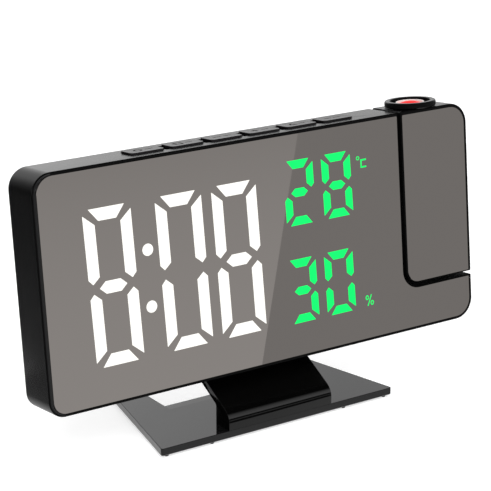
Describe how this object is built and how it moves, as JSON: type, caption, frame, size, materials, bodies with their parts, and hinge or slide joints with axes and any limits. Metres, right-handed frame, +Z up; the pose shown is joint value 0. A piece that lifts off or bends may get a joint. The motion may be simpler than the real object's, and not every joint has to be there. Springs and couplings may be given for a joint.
{
  "type": "projection alarm clock",
  "caption": "Table alarm clock with a mirror-fronted body, lit digits, top buttons, a tilting projector arm with focus ring, and a bracket stand.",
  "frame": {"origin": "on the table, under the middle of the base plate", "axes": "+X across the clock to the viewer's right, +Y to the back, +Z up; the mirror faces -Y and leans back"},
  "size_m": [0.19, 0.058, 0.112],
  "materials": {
    "case_black": "fine satin moulded black",
    "cover_black": "fine sparked texture, black",
    "mirror_tint": "half-silvered tinted acrylic",
    "carrier_black": "moulded black",
    "digits_white": "lit diffuser, white",
    "digits_green": "lit diffuser, green",
    "digits_off": "unlit diffuser",
    "board_green": "solder mask",
    "chip_black": "moulded epoxy",
    "screw_zinc": "zinc plated",
    "screw_black": "black oxide",
    "switch_grey": "moulded grey",
    "button_black": "fine satin moulded black",
    "speaker_grey": "pressed steel basket and magnet",
    "cell_steel": "nickel plated steel",
    "contact_brass": "stamped, bright",
    "bush_brass": "turned",
    "shaft_steel": "ground",
    "washer_nylon": "nylon",
    "tube_black": "moulded, ribbed inside",
    "lamp_white": "white solder mask and lamp",
    "lens_clear": "clear lens",
    "slide_dark": "liquid crystal slide",
    "ring_black": "satin gloss black",
    "barrel_pale": "moulded pale plastic",
    "lens_red": "lens lit red from inside",
    "plate_gloss": "polished black",
    "bracket_gloss": "polished black",
    "foot_rubber": "matt rubber"
  },
  "bodies": {
    "clock": {"front_frame": "case_black", "rear_cover": "cover_black", "mirror_panel": "mirror_tint", "light_box": "carrier_black", "time_digits": "digits_white", "temperature_digits": "digits_green", "humidity_digits": "digits_green", "unlit_digits": "digits_off", "main_board": "board_green", "board_chips": "chip_black", "board_screws": "screw_zinc", "key_board": "board_green", "key_switches": "switch_grey", "loudspeaker": "speaker_grey", "coin_cell": "cell_steel", "cell_contact": "contact_brass", "cell_cover": "cover_black", "cell_cover_screw": "screw_black", "power_inlet": "tube_black", "inlet_pin": "contact_brass", "humidity_sensor": "board_green", "cover_screws": "screw_black", "hinge_bush": "bush_brass", "base_plate": "plate_gloss", "plate_screws": "screw_black", "rubber_feet": "foot_rubber", "stand_bracket": "bracket_gloss", "bracket_screws": "screw_black"},
    "projector_arm": {"arm_frame": "case_black", "arm_cover": "cover_black", "arm_mirror": "mirror_tint", "arm_screws": "screw_black", "hinge_shaft": "shaft_steel", "hinge_washer": "washer_nylon", "hinge_clip": "shaft_steel", "projector_tube": "tube_black", "projector_lamp": "lamp_white", "condenser_lens": "lens_clear", "digit_slide": "slide_dark"},
    "focus_ring": {"focus_ring": "ring_black"},
    "lens_barrel": {"lens_barrel": "barrel_pale", "projection_lens": "lens_red"},
    "mode_key": {"mode_button": "button_black"},
    "set_key": {"set_button": "button_black"},
    "down_key": {"down_button": "button_black"},
    "up_key": {"up_button": "button_black"},
    "alarm_key": {"alarm_button": "button_black"},
    "snooze_key": {"snooze_button": "button_black"}
  },
  "joints": [
    {"name": "projector_tilt", "type": "hinge", "parent": "clock", "child": "projector_arm", "pos_m": [0.0628, -0.01179, 0.07497], "axis": [1, 0, 0], "range_deg": [-90, 90]},
    {"name": "focus_turn", "type": "hinge", "parent": "projector_arm", "child": "focus_ring", "pos_m": [0.0746, -0.00826, 0.10859], "axis": [0, 0.1045, 0.9945], "range_deg": [-90, 90]},
    {"name": "lens_focus", "type": "slide", "parent": "projector_arm", "child": "lens_barrel", "axis": [0, 0.1045, 0.9945], "range_m": [-0.0004, 0.0004]},
    {"name": "mode_press", "type": "slide", "parent": "clock", "child": "mode_key", "axis": [0, -0.1045, -0.9945], "range_m": [0, 0.0005], "stiffness_N_per_m": 900, "springref_m": -0.0006},
    {"name": "set_press", "type": "slide", "parent": "clock", "child": "set_key", "axis": [0, -0.1045, -0.9945], "range_m": [0, 0.0005], "stiffness_N_per_m": 900, "springref_m": -0.0006},
    {"name": "down_press", "type": "slide", "parent": "clock", "child": "down_key", "axis": [0, -0.1045, -0.9945], "range_m": [0, 0.0005], "stiffness_N_per_m": 900, "springref_m": -0.0006},
    {"name": "up_press", "type": "slide", "parent": "clock", "child": "up_key", "axis": [0, -0.1045, -0.9945], "range_m": [0, 0.0005], "stiffness_N_per_m": 900, "springref_m": -0.0006},
    {"name": "alarm_press", "type": "slide", "parent": "clock", "child": "alarm_key", "axis": [0, -0.1045, -0.9945], "range_m": [0, 0.0005], "stiffness_N_per_m": 900, "springref_m": -0.0006},
    {"name": "snooze_press", "type": "slide", "parent": "clock", "child": "snooze_key", "axis": [0, -0.1045, -0.9945], "range_m": [0, 0.0005], "stiffness_N_per_m": 900, "springref_m": -0.0006}
  ],
  "couplings": [
    {"joint": "focus_turn", "follows": "lens_focus", "rad_per_m": 3926}
  ]
}
